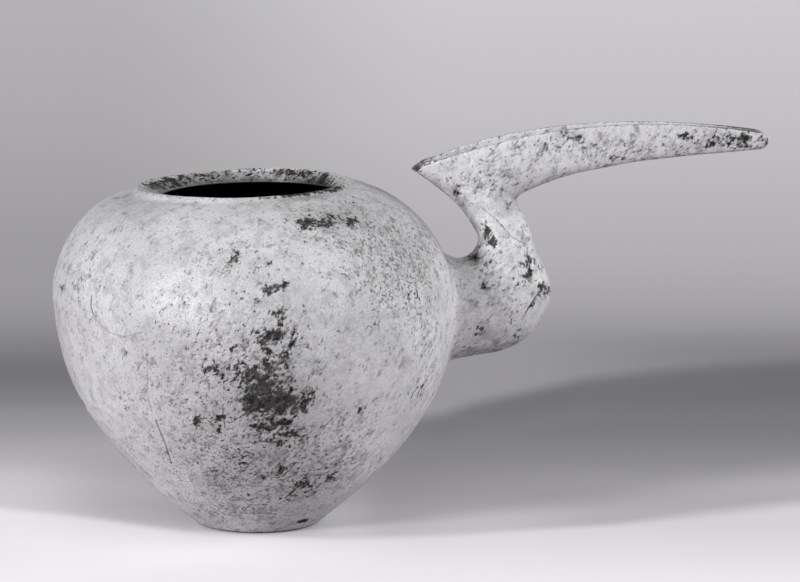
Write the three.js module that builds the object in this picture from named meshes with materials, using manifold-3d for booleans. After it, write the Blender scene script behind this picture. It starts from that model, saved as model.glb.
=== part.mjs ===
// A spouted pitcher, built by hand in low-fired clay: a full body, widest above its middle, stands on a
// small flat foot and has no neck, only a bevelled lip. A thick throat grows out of its side, turns up into a
// narrow neck and carries a long beak, which is an open channel with a pointed prow behind and a blunt tip
// in front. Body, throat and beak are one piece of clay, hollow all the way from the body to the channel.
//
// Millimetres, +Z up. +X is the way the beak pours. The origin is the centre of the foot's underside.

import * as THREE from "three";
import { mergeVertices } from "three/addons/utils/BufferGeometryUtils.js";
import Module from "manifold-3d";

const wasm = await Module();
wasm.setup();

// Body
const footRadius = 28.5;
const footEdge = 1.5; // how far the foot's edge is rounded off
const bellyRadius = 96;
const bellyHeight = 111;
const mouthRadius = 49; // to the crest of the lip
const mouthHeight = 163.5;
const bodyWall = 6.5;
const floorThickness = 9;
const lipWidth = 8.5; // how far the lip's bevel slopes in from its crest
const lipDrop = 5; // and how far down
const mouthLean = -6; // the hand-built body leans away from the beak towards its mouth
const mouthSlope = 0.02; // the lip climbs towards the beak by this much
const openingShift = 3; // the opening is off centre, so the lip is broader at the back

// Throat and neck
const throatHeight = 102; // of the throat's middle, where it leaves the body
const throatDiameter = 47.5; // upright
const throatHalfWidth = 21.5; // across
const rootFlare = 5; // how much it widens where it meets the body
const throatWall = 4.8;
const throatClimb = 4; // how much its underside rises on the way to the turn
const elbowRadius = 25; // round the outside of the turn
const elbowReach = 45.5; // from the body's side to the outermost point of the turn
const crotchRadius = 8; // round the inside of the turn
const neckBackReach = 10.3; // from the body's side to the back of the neck
const neckFrontReach = 27.7; // from the body's side to the corner under the beak
const neckRise = 52; // from the throat's middle to that corner
const neckHalfWidth = 10.6;
const neckWall = 3.6;

// Beak
const beakLength = 171.5;
const prowReach = 21.2; // how far the prow points back over the shoulder from the body's side
const prowRise = 15.5; // how far the prow is above the corner under the beak
const tipRise = 16; // and how far the tip's edge is above the prow
const tipDepth = 8.2;
const tipHalfWidth = 5.2;
const beakHalfWidth = 12.4; // at its widest
const widestAfterProw = 38.5;
const beakWall = 2.7;
const channelFloor = 3.8;

// Smoothness
const bodySides = 56;
const cavitySides = 36;
const throatSides = 28;
const boreSides = 22;
const beakSides = 18;
const channelSides = 14;
const beakStations = 24;

const clay = new THREE.MeshStandardMaterial({ color: 0xb4b1ad, roughness: 0.85, metalness: 0 });
const cutMargin = 6; // how far a cut runs past the clay
const point = (x, y) => new THREE.Vector2(x, y);
const mix = THREE.MathUtils.lerp;
const share = (value, from, to) => THREE.MathUtils.clamp((value - from) / (to - from), 0, 1);
const ease = (t) => t * t * (3 - 2 * t);
const lean = (z) => mouthLean * Math.max(0, z / mouthHeight) ** 4;

// A closed geometry as a solid that can be joined and cut.
function solidOf(geometry) {
  const bare = new THREE.BufferGeometry();
  bare.setAttribute("position", geometry.getAttribute("position"));
  bare.setIndex(geometry.getIndex());
  const merged = mergeVertices(bare, 1e-4);
  const corners = merged.index.array;
  const kept = [];
  for (let i = 0; i < corners.length; i += 3) {
    const [a, b, c] = [corners[i], corners[i + 1], corners[i + 2]];
    if (a !== b && b !== c && c !== a) kept.push(a, b, c);
  }
  return new wasm.Manifold(
    new wasm.Mesh({
      numProp: 3,
      vertProperties: merged.attributes.position.array,
      triVerts: new Uint32Array(kept),
    }),
  );
}

// A solid back as a geometry.
function geometryOf(solid) {
  const mesh = solid.getMesh();
  const geometry = new THREE.BufferGeometry();
  geometry.setAttribute("position", new THREE.BufferAttribute(mesh.vertProperties, 3));
  geometry.setIndex(new THREE.BufferAttribute(mesh.triVerts, 1));
  geometry.computeVertexNormals();
  return geometry;
}

// A closed skin over a row of rings with as many points each, and a flat fan over each end.
function skin(rings) {
  const count = rings[0].length;
  const last = (rings.length - 1) * count;
  const middleOf = (ring) =>
    ring.reduce((sum, p) => sum.add(p), new THREE.Vector3()).divideScalar(count);
  const points = [...rings.flat(), middleOf(rings[0]), middleOf(rings.at(-1))];
  const index = [];
  for (let i = 0; i < count; i++) {
    const j = (i + 1) % count;
    for (let r = 0; r < last; r += count)
      index.push(r + i, r + j, r + j + count, r + i, r + j + count, r + i + count);
    index.push(last + count, j, i, last + count + 1, last + i, last + j);
  }
  const geometry = new THREE.BufferGeometry().setFromPoints(points);
  geometry.setIndex(index);
  return solidOf(geometry);
}

// The height of a line at one x. Its points go from left to right.
function heightAt(line, x) {
  const next = line.findIndex((p) => p.x >= x);
  if (next <= 0) return line.at(next).y;
  const [a, b] = [line[next - 1], line[next]];
  return mix(a.y, b.y, share(x, a.x, b.x));
}

// A line moved sideways by a distance, to the left of the way it runs.
function movedLeft(line, distance) {
  return line.map((p, i) => {
    const before = line[Math.max(0, i - 1)];
    const after = line[Math.min(line.length - 1, i + 1)];
    const way = after.clone().sub(before).setLength(distance);
    return point(p.x - way.y, p.y + way.x);
  });
}

// The body's outline from the foot's edge to the crest of the lip, as radius and height.
function bodyOutline() {
  const belly = bellyRadius - footRadius;
  const shoulderRun = bellyRadius - mouthRadius;
  const shoulderRise = mouthHeight - bellyHeight;
  const foot = new THREE.QuadraticBezierCurve(
    point(footRadius - footEdge, 0),
    point(footRadius, 0),
    point(footRadius + footEdge * 0.8, footEdge * 0.6),
  );
  const lower = new THREE.CubicBezierCurve(
    foot.v2,
    point(footRadius + belly * 0.34, bellyHeight * 0.17),
    point(bellyRadius, bellyHeight * 0.47),
    point(bellyRadius, bellyHeight),
  );
  const upper = new THREE.CubicBezierCurve(
    point(bellyRadius, bellyHeight),
    point(bellyRadius, bellyHeight + shoulderRise * 0.37),
    point(mouthRadius + shoulderRun * 0.59, mouthHeight - shoulderRise * 0.08),
    point(mouthRadius, mouthHeight),
  );
  return [
    ...foot.getPoints(2),
    ...lower.getSpacedPoints(13).slice(1),
    ...upper.getSpacedPoints(11).slice(1),
  ];
}

// The body's inside: the outline brought in by the wall, between the floor and the lip's bevel.
function cavityOutline() {
  const lipInside = mouthRadius - lipWidth;
  const wall = movedLeft(bodyOutline(), bodyWall).filter(
    (p) => p.y > floorThickness + 4 && p.x > lipInside + 1 && p.y < mouthHeight - lipDrop,
  );
  return [
    point(0, floorThickness),
    point(wall[0].x * 0.72, floorThickness),
    ...wall,
    point(lipInside, mouthHeight - lipDrop - 1),
    point(lipInside, mouthHeight - lipDrop),
    point(mouthRadius - 1, mouthHeight - 0.5),
    point(mouthRadius, mouthHeight + cutMargin),
    point(0, mouthHeight + cutMargin),
  ];
}

// A turned shape, given the body's lean and the mouth's slope.
function turned(outline, sides, shift) {
  const geometry = new THREE.LatheGeometry(outline, sides);
  geometry.rotateX(Math.PI / 2);
  const at = geometry.getAttribute("position");
  for (let i = 0; i < at.count; i++) {
    const height = Math.max(0, at.getZ(i) / mouthHeight);
    const x = at.getX(i) + lean(at.getZ(i)) + shift * height ** 8;
    at.setX(i, x);
    at.setZ(i, at.getZ(i) + mouthSlope * x * height ** 6);
  }
  return solidOf(geometry);
}

// Where things are, seen from the side. All of the throat and the beak hangs on the body's side.
const sideRadius = heightAt(
  bodyOutline().map((p) => point(p.y, p.x)),
  throatHeight,
);
const bodySide = sideRadius + lean(throatHeight);
const throatTop = throatHeight + throatDiameter / 2;
const throatBottom = throatHeight - throatDiameter / 2;
const neckBack = point(bodySide + neckBackReach, throatTop + crotchRadius);
const neckFront = point(bodySide + neckFrontReach, throatHeight + neckRise);
const prow = point(bodySide - prowReach, neckFront.y + prowRise);
const tip = point(prow.x + beakLength, prow.y + tipRise);

// The back of the neck, which sweeps up and back to the prow.
function prowLine() {
  const reach = neckBack.x - prow.x;
  const rise = prow.y - neckBack.y;
  return new THREE.CubicBezierCurve(
    prow,
    point(prow.x + reach * 0.82, prow.y - rise * 0.48),
    point(prow.x + reach * 0.92, prow.y - rise * 0.66),
    neckBack,
  ).getPoints(32);
}

// The two sides of the throat and neck: over the crotch and up the back, and round the elbow and up the
// front. Both are a root, a turn and a neck, cut into as many steps, so that they can be paired.
function throatLines() {
  const rootStart = bodySide - bodyWall - cutMargin;
  const crotch = point(neckBack.x - crotchRadius, neckBack.y);
  const elbow = point(bodySide + elbowReach - elbowRadius, throatBottom + throatClimb + elbowRadius);
  const turnEnd = 0.3;
  const outerEnd = point(
    elbow.x + elbowRadius * Math.cos(turnEnd),
    elbow.y + elbowRadius * Math.sin(turnEnd),
  );
  const neckTop = neckFront.y + prowRise * 0.4;
  const inner = [
    new THREE.LineCurve(point(rootStart, throatTop), point(crotch.x, throatTop)),
    new THREE.EllipseCurve(crotch.x, crotch.y, crotchRadius, crotchRadius, -Math.PI / 2, 0),
    new THREE.CubicBezierCurve(
      neckBack,
      point(neckBack.x + 0.5, mix(neckBack.y, neckTop, 0.3)),
      point(neckBack.x - 2, mix(neckBack.y, neckTop, 0.6)),
      point(neckBack.x - 6, neckTop),
    ),
  ];
  const outer = [
    new THREE.LineCurve(point(rootStart, throatBottom), point(elbow.x, throatBottom + throatClimb)),
    new THREE.EllipseCurve(elbow.x, elbow.y, elbowRadius, elbowRadius, -Math.PI / 2, turnEnd),
    new THREE.CubicBezierCurve(
      outerEnd,
      point(mix(outerEnd.x, neckFront.x, 0.19), mix(outerEnd.y, neckFront.y, 0.28)),
      point(mix(outerEnd.x, neckFront.x, 0.75), mix(outerEnd.y, neckFront.y, 0.78)),
      point(neckFront.x - 1.5, neckTop),
    ),
  ];
  const steps = [4, 8, 7];
  const pointsOf = (curves) => [
    ...curves[0].getPoints(steps[0]),
    ...curves[1].getPoints(steps[1]).slice(1),
    ...curves[2].getPoints(steps[2]).slice(1),
  ];
  return [pointsOf(inner), pointsOf(outer)];
}

// The throat and neck as a tube of ovals: the clay, or its bore when the walls are taken off.
function throatTube(sides, isBore) {
  const [inner, outer] = throatLines();
  const rings = inner.map((a, i) => {
    const b = outer[i];
    const way = i / (inner.length - 1);
    const wall = isBore ? mix(throatWall, neckWall, ease(way)) : 0;
    const flare = isBore ? 0 : rootFlare * (1 - share(a.x, bodySide - 5, bodySide + 6)) ** 2;
    const narrowing = ease(share(way, 0.3, 0.8));
    const halfWidth = mix(throatHalfWidth + flare, neckHalfWidth, narrowing) - wall;
    const middle = a.clone().add(b).multiplyScalar(0.5);
    const half = b.clone().sub(a).multiplyScalar(0.5);
    half.setLength(half.length() - wall);
    return Array.from({ length: sides }, (_, k) => {
      const angle = (2 * Math.PI * k) / sides;
      const [up, across] = [Math.cos(angle), Math.sin(angle)];
      return new THREE.Vector3(middle.x + half.x * up, halfWidth * across, middle.y + half.y * up);
    });
  });
  return skin(rings);
}

// The beak's lines from the prow to the tip: its edge and its keel from the side, its half width from above.
function beakLines() {
  const edge = new THREE.CubicBezierCurve(
    prow,
    point(prow.x + beakLength * 0.27, prow.y + beakLength * 0.12),
    point(tip.x - beakLength * 0.39, tip.y + beakLength * 0.06),
    tip,
  ).getPoints(48);
  const run = tip.x - neckFront.x;
  const underside = new THREE.CubicBezierCurve(
    neckFront,
    point(neckFront.x + run * 0.18, neckFront.y + run * 0.135),
    point(tip.x - run * 0.38, tip.y - tipDepth - run * 0.024),
    point(tip.x, tip.y - tipDepth),
  ).getPoints(32);
  const back = prowLine().filter((p) => p.y > neckBack.y + 3);
  const widest = point(prow.x + widestAfterProw, beakHalfWidth);
  const plan = new THREE.Path();
  plan.moveTo(prow.x, 0);
  plan.bezierCurveTo(
    prow.x + widestAfterProw * 0.05,
    widest.y * 0.5,
    prow.x + widestAfterProw * 0.55,
    widest.y,
    widest.x,
    widest.y,
  );
  plan.bezierCurveTo(
    mix(widest.x, tip.x, 0.1),
    widest.y,
    mix(widest.x, tip.x, 0.29),
    mix(tipHalfWidth, widest.y, 0.15),
    tip.x,
    tipHalfWidth,
  );
  return { edge, back, underside, plan: plan.getPoints(24) };
}

// The beak as a row of upright U shapes: the clay, or its open channel when wall and floor are taken off.
function beakTrough(sides, isChannel) {
  const { edge, back, underside, plan } = beakLines();
  const keel = isChannel
    ? [...movedLeft(back, channelFloor), ...movedLeft(underside, channelFloor)]
    : [...back, ...underside];
  const width = isChannel ? movedLeft(plan, -beakWall) : plan;
  const start = isChannel ? width.find((p) => p.y > 0.5).x + 1 : prow.x + 0.5;
  const end = isChannel ? tip.x + cutMargin : tip.x;
  const rings = Array.from({ length: beakStations + 1 }, (_, i) => {
    const way = i / beakStations;
    const x = mix(start, end, way < 0.5 ? 2 ** 0.4 * way ** 1.4 : way);
    const top = heightAt(edge, x);
    const depth = Math.max(0.5, top - heightAt(keel, x));
    const halfWidth = Math.max(0.5, heightAt(width, x));
    const power = 2 / mix(2, 2.35, way);
    const cup = Array.from({ length: sides + 1 }, (_, k) => {
      const angle = (Math.PI * k) / sides;
      const across = -halfWidth * Math.sign(Math.cos(angle)) * Math.abs(Math.cos(angle)) ** power;
      return new THREE.Vector3(x, across, top - depth * Math.sin(angle) ** power);
    });
    if (!isChannel) return cup;
    const lid = [halfWidth, -halfWidth].map((y) => new THREE.Vector3(x, y, top + cutMargin));
    return [...cup, ...lid];
  });
  return skin(rings);
}

function pitcher() {
  const closed = [point(0, 0), ...bodyOutline(), point(0, mouthHeight)];
  const clayMass = turned(closed, bodySides, 0)
    .add(throatTube(throatSides, false))
    .add(beakTrough(beakSides, false));
  const hollow = turned(cavityOutline(), cavitySides, openingShift)
    .add(throatTube(boreSides, true))
    .add(beakTrough(channelSides, true));
  const mesh = new THREE.Mesh(geometryOf(clayMass.subtract(hollow)), clay);
  mesh.name = "pitcher";
  return mesh;
}

const group = new THREE.Group();
group.add(pitcher());

export default group;
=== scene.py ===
# Spouted pitcher of pale fired clay on a plain studio floor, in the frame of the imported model.
# Shapes are worked out in millimetres, with +Z up and the beak along +X, and go into meshes in metres.

import math

import bmesh
import bpy
import numpy as np
from mathutils import Matrix, Vector


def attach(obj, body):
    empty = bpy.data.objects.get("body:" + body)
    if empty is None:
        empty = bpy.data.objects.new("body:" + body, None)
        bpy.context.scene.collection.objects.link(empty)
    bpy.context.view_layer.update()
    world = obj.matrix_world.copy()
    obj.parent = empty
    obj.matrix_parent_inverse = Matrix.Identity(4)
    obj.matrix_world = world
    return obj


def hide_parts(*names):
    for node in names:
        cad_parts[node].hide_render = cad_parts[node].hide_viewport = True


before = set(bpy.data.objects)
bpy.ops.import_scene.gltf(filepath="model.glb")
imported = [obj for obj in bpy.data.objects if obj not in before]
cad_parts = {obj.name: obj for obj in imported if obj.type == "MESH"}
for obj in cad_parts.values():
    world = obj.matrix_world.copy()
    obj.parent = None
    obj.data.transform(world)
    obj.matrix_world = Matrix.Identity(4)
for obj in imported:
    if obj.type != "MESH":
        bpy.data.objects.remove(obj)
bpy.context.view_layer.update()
scene = bpy.context.scene
print("frame loaded")

# small helpers


def bezier(points, count):
    # a cubic curve: it leaves the first point towards the second, and reaches the last from the third
    t = np.linspace(0.0, 1.0, count)[:, None]
    a, b, c, d = (np.array(p, float) for p in points)
    return a * (1 - t) ** 3 + 3 * b * t * (1 - t) ** 2 + 3 * c * t * t * (1 - t) + d * t**3


def throughRows(rows, count):
    # a smooth run through rows of numbers: between two rows, the cubic whose slope at each row is half
    # the step from the row before to the row after
    p = np.array(rows, float)
    p = np.concatenate([[2 * p[0] - p[1]], p, [2 * p[-1] - p[-2]]])
    u = np.linspace(0.0, len(rows) - 1, count)
    i = np.minimum(u.astype(int), len(rows) - 2)
    t = (u - i).reshape([-1] + [1] * (p.ndim - 1))
    a, b, c, d = p[i], p[i + 1], p[i + 2], p[i + 3]
    bend = (2 * a - 5 * b + 4 * c - d) * t**2 + (3 * b - a - 3 * c + d) * t**3
    return 0.5 * (2 * b + (c - a) * t + bend)


def evenly(line, count):
    # the same line with its points at equal steps along it
    step = np.r_[0.0, np.cumsum(np.linalg.norm(np.diff(line, axis=0), axis=1))]
    at = np.linspace(0.0, step[-1], count)
    return np.stack([np.interp(at, step, column) for column in line.T], axis=1)


def movedLeft(line, distance):
    # the line moved sideways, to the left of the way it runs
    way = np.gradient(line, axis=0)
    way /= np.linalg.norm(way, axis=1)[:, None]
    return line + distance * np.stack([-way[:, 1], way[:, 0]], axis=1)


def smoothStep(value, low, high):
    t = np.clip((value - low) / (high - low), 0.0, 1.0)
    return t * t * (3 - 2 * t)


def waves(points, size, seed, count=14):
    # an even unrest between about -1 and 1: a sum of waves of one length, each with its own direction
    chance = np.random.default_rng(seed)
    way = chance.normal(size=(3, count))
    way *= 2 * math.pi / size / np.linalg.norm(way, axis=0)
    total = np.sin(points @ way + chance.uniform(0, 2 * math.pi, count)).sum(axis=1)
    return total * math.sqrt(2 / count) * 0.6


def meshObject(name, points, faces, parts):
    # a closed mesh whose faces each carry the number of their part
    mesh = bpy.data.meshes.new(name)
    mesh.from_pydata((points * 0.001).tolist(), [], faces)
    mesh.attributes.new("part", "INT", "FACE").data.foreach_set("value", np.array(parts, np.int32))
    edit = bmesh.new()
    edit.from_mesh(mesh)
    bmesh.ops.remove_doubles(edit, verts=edit.verts, dist=1e-6)
    bmesh.ops.recalc_face_normals(edit, faces=edit.faces)
    edit.to_mesh(mesh)
    edit.free()
    thing = bpy.data.objects.new(name, mesh)
    scene.collection.objects.link(thing)
    return thing


def loftFaces(rows, around):
    # four-cornered faces between neighbouring rows of a grid that closes round each row
    r, k = np.meshgrid(np.arange(rows - 1), np.arange(around), indexing="ij")
    a = (r * around + k).ravel()
    b = (r * around + (k + 1) % around).ravel()
    return np.stack([a, b, b + around, a + around], axis=1).tolist()


def tube(name, rings, parts):
    # a closed skin over rings, with a fan of triangles over each end: parts numbers the strips between rings
    rows, around = rings.shape[:2]
    ends = [rings[0].mean(axis=0), rings[-1].mean(axis=0)]
    points = np.concatenate([rings.reshape(-1, 3), ends])
    k = np.arange(around)
    last = (rows - 1) * around
    first = np.stack([np.full(around, rows * around), (k + 1) % around, k], axis=1)
    other = np.stack([np.full(around, rows * around + 1), last + k, last + (k + 1) % around], axis=1)
    faces = loftFaces(rows, around) + first.tolist() + other.tolist()
    strips = np.repeat(np.broadcast_to(parts, rows - 1), around)
    numbers = np.concatenate([strips, np.full(around, strips[0]), np.full(around, strips[-1])])
    return meshObject(name, points, faces, numbers)


def combine(target, operation, other):
    # joins or cuts two closed meshes, keeps the first object and drops the second
    step = target.modifiers.new(operation, "BOOLEAN")
    step.operation = operation
    step.object = other
    step.solver = "MANIFOLD"
    evaluated = target.evaluated_get(bpy.context.evaluated_depsgraph_get())
    result = bpy.data.meshes.new_from_object(evaluated)
    target.modifiers.clear()
    old = target.data
    target.data = result
    bpy.data.meshes.remove(old)
    bpy.data.objects.remove(other)


# the photograph's view, from which marks on the clay are placed

view = {
    "pitch": 9.5,  # degrees down
    "turn": 5.0,  # degrees that the beak points away from the picture's plane
    "distance": 2000.0,
    "nearest": 300.0,  # what lies closer to the eye is drawn as if it were this far off
    "pixelsPerMm": 2.08,
    "foot": (258.5, 520.3),  # where the foot's centre is in the picture
    "size": (800, 582),
}


def viewAxes():
    pitch, turn = math.radians(view["pitch"]), math.radians(view["turn"])
    level = np.array([math.sin(turn), math.cos(turn), 0.0])
    right = np.array([math.cos(turn), -math.sin(turn), 0.0])
    forward = level * math.cos(pitch) - np.array([0, 0, math.sin(pitch)])
    up = level * math.sin(pitch) + np.array([0, 0, math.cos(pitch)])
    across = (view["foot"][0] - view["size"][0] / 2) / view["pixelsPerMm"]
    above = (view["size"][1] / 2 - view["foot"][1]) / view["pixelsPerMm"]
    eye = -(across * right + above * up + view["distance"] * forward)
    return right, up, forward, eye


def seenAt(points):
    # where points of the object lie in the picture, in its pixels
    right, up, forward, eye = viewAxes()
    wide, high = view["size"]
    ray = points - eye
    scale = view["distance"] * view["pixelsPerMm"] / np.maximum(ray @ forward, view["nearest"])
    return np.stack([wide / 2 + scale * (ray @ right), high / 2 - scale * (ray @ up)], axis=1)


# the parts of the clay, by which its faces are told apart
part = {"outside": 0, "lip": 1, "inside": 2, "neck": 3, "bore": 4, "beak": 5, "rim": 6, "channel": 7}

# body

body = {
    "footRadius": 28.5,
    "footEdge": 1.5,
    "bellyRadius": 96.0,
    "bellyHeight": 111.0,
    "mouthRadius": 49.8,
    "mouthHeight": 163.5,
    "wall": 6.5,
    "floor": 9.0,
    "lipWidth": 8.5,
    "lipDrop": 5.6,
    "lean": -6.0,  # how far the mouth is off the foot's axis
    "slope": 0.02,  # how much the lip climbs towards the beak
    "openingShift": 3.0,
    # where the outline's two curves bend, as shares of their width and height
    "lowerBend": (0.34, 0.17),
    "belowBelly": 0.47,
    "aboveBelly": 0.37,
    "upperBend": (0.59, 0.08),
    # the shoulder's hollow behind the lip: its depth, and how far past the mouth's radius it starts and ends
    "shoulderHeight": 140.0,
    "shoulderHollow": 2.4,
    "hollowStart": (0.3, 2.6),
    "hollowEnd": (5.0, 27.0),
    # the rise of the lip's crest, and the radii where it starts and ends
    "lipRise": 1.0,
    "crestStart": (44.0, 48.0),
    "crestEnd": (50.5, 53.0),
    "around": 296,
    "crowding": 0.34,  # how much closer the steps round it are on the photographed side
    "outsideSteps": 142,
    "insideSteps": 52,
    "curveSteps": 200,
}


def bodyOutline():
    # two cubic curves from the foot's edge to the belly and on to the lip's crest, as radius and height
    b = body
    run, rise = b["bellyRadius"] - b["mouthRadius"], b["mouthHeight"] - b["bellyHeight"]
    flare = b["bellyRadius"] - b["footRadius"]
    edge = (b["footRadius"] + b["footEdge"] * 0.8, b["footEdge"] * 0.6)
    lowOut, lowUp = b["lowerBend"]
    highOut, highDown = b["upperBend"]
    lower = bezier(
        [
            edge,
            (b["footRadius"] + flare * lowOut, b["bellyHeight"] * lowUp),
            (b["bellyRadius"], b["bellyHeight"] * b["belowBelly"]),
            (b["bellyRadius"], b["bellyHeight"]),
        ],
        b["curveSteps"],
    )
    upper = bezier(
        [
            (b["bellyRadius"], b["bellyHeight"]),
            (b["bellyRadius"], b["bellyHeight"] + rise * b["aboveBelly"]),
            (b["mouthRadius"] + run * highOut, b["mouthHeight"] - rise * highDown),
            (b["mouthRadius"], b["mouthHeight"]),
        ],
        b["curveSteps"],
    )
    return np.concatenate([lower, upper[1:]])


def corner(before, at, after, count=7):
    # a small round between two edges: the parabola that leaves the first and reaches the last along them
    t = np.linspace(0.0, 1.0, count)[:, None]
    before, at, after = (np.array(p, float) for p in (before, at, after))
    return before * (1 - t) ** 2 + 2 * at * t * (1 - t) + after * t * t


def bodyProfile():
    # once round the wall's section: out under the foot, up the outside, over the lip, down the inside
    # to the floor's middle. The third column is 0 outside, a half on the lip's bevel and 1 inside.
    b = body
    outline = bodyOutline()
    inside = movedLeft(outline, b["wall"])
    lip = np.array([b["mouthRadius"], b["mouthHeight"]])
    lipInside = lip - [b["lipWidth"], b["lipDrop"]]
    bevel = (lip - lipInside) / np.linalg.norm(lip - lipInside)
    outer = evenly(outline[np.linalg.norm(outline - lip, axis=1) > 1.6], b["outsideSteps"])
    wall = inside[(inside[:, 0] > lipInside[0] + 2.0) & (inside[:, 1] > b["floor"] + 9)][::-1]
    wall = evenly(wall, b["insideSteps"])
    wallEnd = wall[-1][0]
    foot = corner((b["footRadius"] - b["footEdge"], 0), (b["footRadius"], 0), outer[0], 4)
    stretches = [
        (np.stack([np.linspace(0, foot[0, 0], 9)[:-1], np.zeros(8)], axis=1), 0.0),
        (foot[:-1], 0.0),
        (outer, 0.0),
        (corner(outer[-1], lip + [0.1, 0.3], lip - bevel * 1.8)[1:], 0.0),
        (np.linspace(lip - bevel * 2.6, lipInside + bevel * 2.2, 7), 0.5),
        (corner(lipInside + bevel * 1.6, lipInside + [0, -0.4], wall[0] + [-1.2, 0.1]), 1.0),
        (wall, 1.0),
        (corner(wall[-1] - [2, 2.5], (wallEnd - 9, b["floor"]), (wallEnd * 0.45, b["floor"]), 8), 1.0),
        (np.array([[6.0, b["floor"]], [0.0, b["floor"]]]), 1.0),
    ]
    return np.concatenate([np.c_[line, np.full(len(line), side)] for line, side in stretches])


def leaned(points, inward):
    # the turned body pushed off its axis by the fourth power of the height, and its mouth tilted. The
    # shoulder sinks a little behind the lip, most on the side away from the beak, where the lip is lowest,
    # and the lip's crest rises towards the beak and towards the photographed side.
    b = body
    height = np.maximum(0.0, points[..., 2] / b["mouthHeight"])
    points = points.copy()
    radius = np.hypot(points[..., 0], points[..., 1])
    pastMouth = radius - b["mouthRadius"]
    high = points[..., 2] > b["shoulderHeight"]
    toBeak = 0.5 + 0.5 * points[..., 0] / np.maximum(radius, 1e-6)
    hollow = smoothStep(pastMouth, *b["hollowStart"]) * (1 - smoothStep(pastMouth, *b["hollowEnd"]))
    points[..., 2] -= b["shoulderHollow"] * hollow * (high * (1 - inward)) * (1 - toBeak) ** 3
    toFront = 0.5 - 0.5 * points[..., 1] / np.maximum(radius, 1e-6)
    crest = smoothStep(radius, *b["crestStart"]) * (1 - smoothStep(radius, *b["crestEnd"])) * high
    points[..., 2] += b["lipRise"] * crest * np.maximum(toBeak, toFront) ** 2
    points[..., 0] += b["lean"] * height**4 + b["openingShift"] * height**8 * inward
    points[..., 2] += b["slope"] * points[..., 0] * height**6
    return points


def buildBody():
    # the section turned round the axis. A sine moves the steps round it closer on the photographed side.
    profile = bodyProfile()
    turn = np.arange(body["around"]) * 2 * math.pi / body["around"]
    turn = turn - body["crowding"] * np.sin(turn + math.pi / 2)
    ring = profile[1:-1]
    points = np.stack(
        [
            ring[:, :1] * np.cos(turn),
            ring[:, :1] * np.sin(turn),
            np.repeat(ring[:, 1:2], len(turn), axis=1),
        ],
        axis=-1,
    )
    side = profile[1:-2, 2] + profile[2:-1, 2]
    parts = np.select([side < 0.4, side < 1.6], [part["outside"], part["lip"]], part["inside"])
    return tube("body", leaned(points, ring[:, 2:3]), parts)


def bodySide(y, z):
    # how far out along +X the body's surface is, at a height and a distance from the middle
    outline = bodyOutline()
    radius = np.interp(z, outline[:, 1], outline[:, 0])
    return np.sqrt(radius**2 - y**2) + body["lean"] * (z / body["mouthHeight"]) ** 4


# throat and neck

throat = {
    "height": 102.0,
    "halfHeight": 24.0,
    "halfWidth": 21.6,
    # out from the body's side, and how much wider the root is there
    "root": [(-3.2, 6.0), (-0.5, 3.4), (1.5, 1.3), (4.4, 0.2)],
    # x and z along the top, x and z along the underside, half the width, the wall
    "rows": [
        (97.5, 126.1, 103.5, 79.3, 21.2, 4.8),
        (100.8, 127.5, 115.5, 81.4, 20.7, 4.8),
        (103.5, 130.2, 126.6, 86.2, 19.6, 4.7),
        (104.9, 133.8, 135.6, 94.2, 17.8, 4.6),
        (105.4, 137.4, 140.2, 105.0, 15.6, 4.5),
        (105.1, 140.8, 139.6, 115.8, 13.4, 4.4),
        (104.2, 144.6, 135.2, 127.6, 11.6, 4.2),
        (102.9, 149.0, 130.3, 139.0, 10.7, 3.9),
        (101.6, 154.0, 125.8, 149.2, 10.6, 3.7),
        (100.4, 160.0, 121.6, 157.6, 10.9, 3.6),
        (99.6, 166.0, 119.2, 166.0, 11.2, 3.6),
    ],
    "around": 84,
    "rings": 84,
    "boreStart": 9.0,  # how far inside the body's face the bore begins
    "boreAround": 40,
    "boreRings": 50,
}


def throatRings(inset, around, count):
    # ovals between the top and the underside, run through smoothly from the root on the body's side. inset
    # is 0 for the outside and 1 for the bore, which is smaller by the wall.
    t = throat
    angle = np.arange(around) * 2 * math.pi / around
    up, across = np.cos(angle), np.sin(angle)
    rows = np.array(t["rows"])
    wall = inset * rows[:, 5:6]
    top, under = rows[:, 0:2], rows[:, 2:4]
    middle = (top + under) / 2
    half = (under - top) / 2
    half *= 1 - wall / np.linalg.norm(half, axis=1)[:, None]
    ovals = np.stack(
        [
            middle[:, :1] + half[:, :1] * up,
            (rows[:, 4:5] - wall) * across,
            middle[:, 1:] + half[:, 1:] * up,
        ],
        axis=-1,
    )
    out, flare = np.array(t["root"]).T[:, :, None]
    thin = inset * rows[0, 5]
    z = t["height"] - (t["halfHeight"] + flare * (1 - inset) - thin) * up
    y = (t["halfWidth"] + flare * (1 - inset) - thin) * across
    x = bodySide(y, z) + out - inset * t["boreStart"]
    root = np.stack([x, y, z], axis=-1)
    return throughRows(np.concatenate([root, ovals]), count)


# beak

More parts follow.
